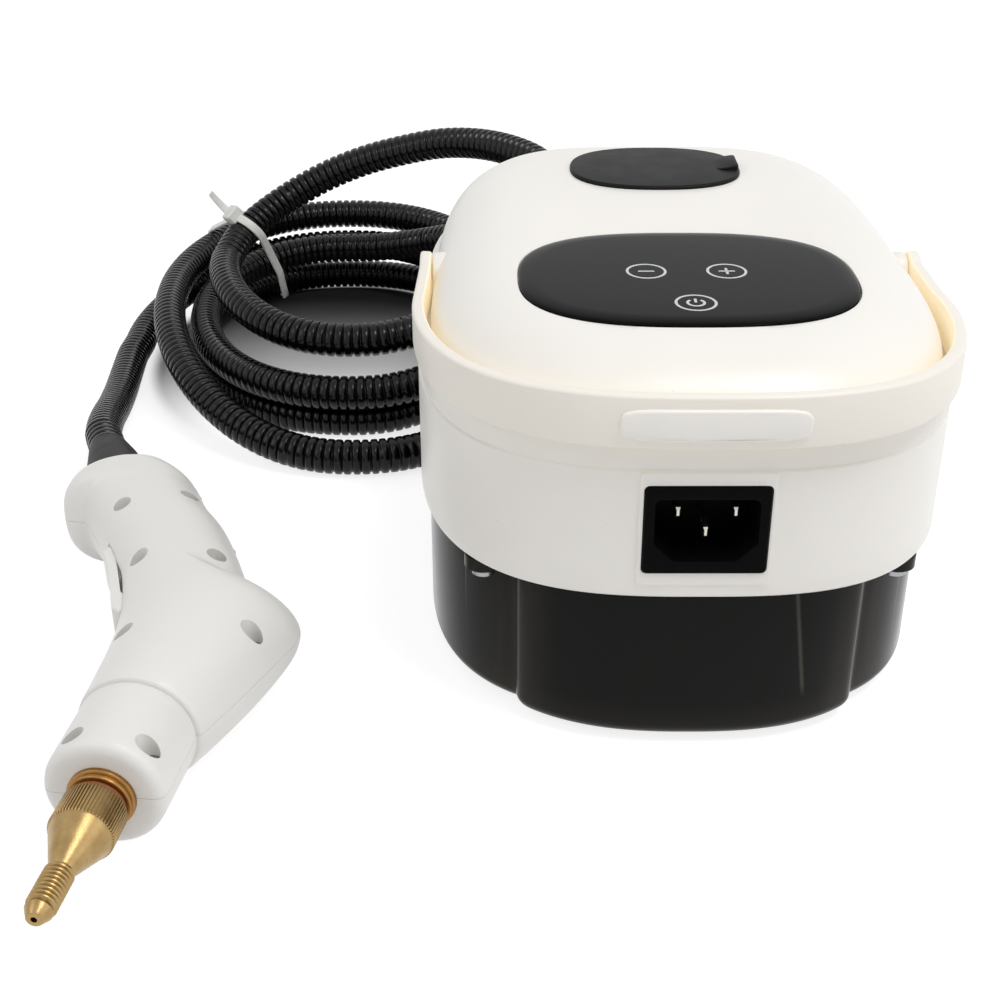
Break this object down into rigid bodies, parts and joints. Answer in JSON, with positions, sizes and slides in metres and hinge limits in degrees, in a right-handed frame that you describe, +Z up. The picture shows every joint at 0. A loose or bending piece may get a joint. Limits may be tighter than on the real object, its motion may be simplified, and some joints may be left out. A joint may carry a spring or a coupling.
{
  "type": "handheld steam cleaner",
  "caption": "Handheld steam cleaner: white base with a smoky water tank, black touch panel, carry handle and mains inlet, a tied coil of corrugated hose and a steam gun with a screwed nozzle.",
  "frame": {"origin": "on the table under the middle of the base, level with the bottom of its rubber feet", "axes": "+Z up, +X to the right seen from the mains inlet, the mains inlet and the front of the base face -Y"},
  "size_m": [0.2889, 0.4615, 0.1173],
  "materials": {
    "housing": "smooth white ABS with a soft gloss",
    "tank": "thick smoky translucent moulded tub",
    "panel": "black glass-like touch panel",
    "seal": "orange-brown sealing rubber",
    "inner_white": "natural moulded plastic",
    "black_plastic": "black moulded plastic",
    "black_rubber": "black rubber",
    "hose": "black corrugated nylon conduit",
    "tie": "translucent nylon",
    "tube": "translucent silicone tube",
    "steel": "zinc plated or bare steel",
    "contact": "nickel plated brass",
    "brass": "turned brass",
    "castings": "die-cast aluminium",
    "pump_body": "moulded coil and steel yoke",
    "boards": "green circuit board",
    "sensors": "brown phenolic"
  },
  "bodies": {
    "machine": {"water_tank": "tank", "rubber_feet": "black_rubber", "tank_gasket": "black_rubber", "tank_screws": "steel", "chassis_plate": "inner_white", "main_housing": "housing", "top_cover": "housing", "cover_screws": "steel", "control_panel": "panel", "touch_board": "boards", "control_board": "boards", "fill_neck": "inner_white", "handle_pins": "housing", "inlet_socket": "black_plastic", "inlet_pins": "contact", "pump": "pump_body", "pump_mounts": "black_rubber", "suction_tube": "tube", "suction_filter": "black_plastic", "water_tube": "tube", "heater_block": "castings", "heater_brackets": "steel", "thermostat": "sensors", "thermal_fuse": "sensors", "steam_tube": "tube", "hose_gland": "black_plastic", "gland_nut": "black_plastic", "hose_lead": "hose", "hose_coil": "hose", "hose_tail": "hose", "cable_tie": "tie", "strain_boot": "black_rubber", "gun_upper_shell": "housing", "gun_lower_shell": "housing", "gun_screws": "steel", "trigger_pin": "steel", "trigger_spring": "steel", "trigger_switch": "black_plastic", "gun_steam_pipe": "tube", "nozzle_socket": "brass", "nozzle_oring": "seal", "nozzle": "brass"},
    "handle": {"carry_handle": "housing"},
    "lid": {"fill_cover": "black_rubber"},
    "trigger_lever": {"trigger": "housing"}
  },
  "joints": [
    {"name": "carry_handle_swing", "type": "hinge", "parent": "machine", "child": "handle", "pos_m": [0, 0.002, 0.0982], "axis": [-1, 0, 0], "range_deg": [0, 100]},
    {"name": "fill_cover_lift", "type": "hinge", "parent": "machine", "child": "lid", "pos_m": [-0.0275, 0.0558, 0.11593], "axis": [0, -0.9992, -0.04], "range_deg": [0, 110]},
    {"name": "trigger_pull", "type": "hinge", "parent": "machine", "child": "trigger_lever", "pos_m": [-0.15188, -0.06604, 0.018], "axis": [0, 0, -1], "range_deg": [0, 4.4], "stiffness_Nm_per_rad": 0.3}
  ]
}
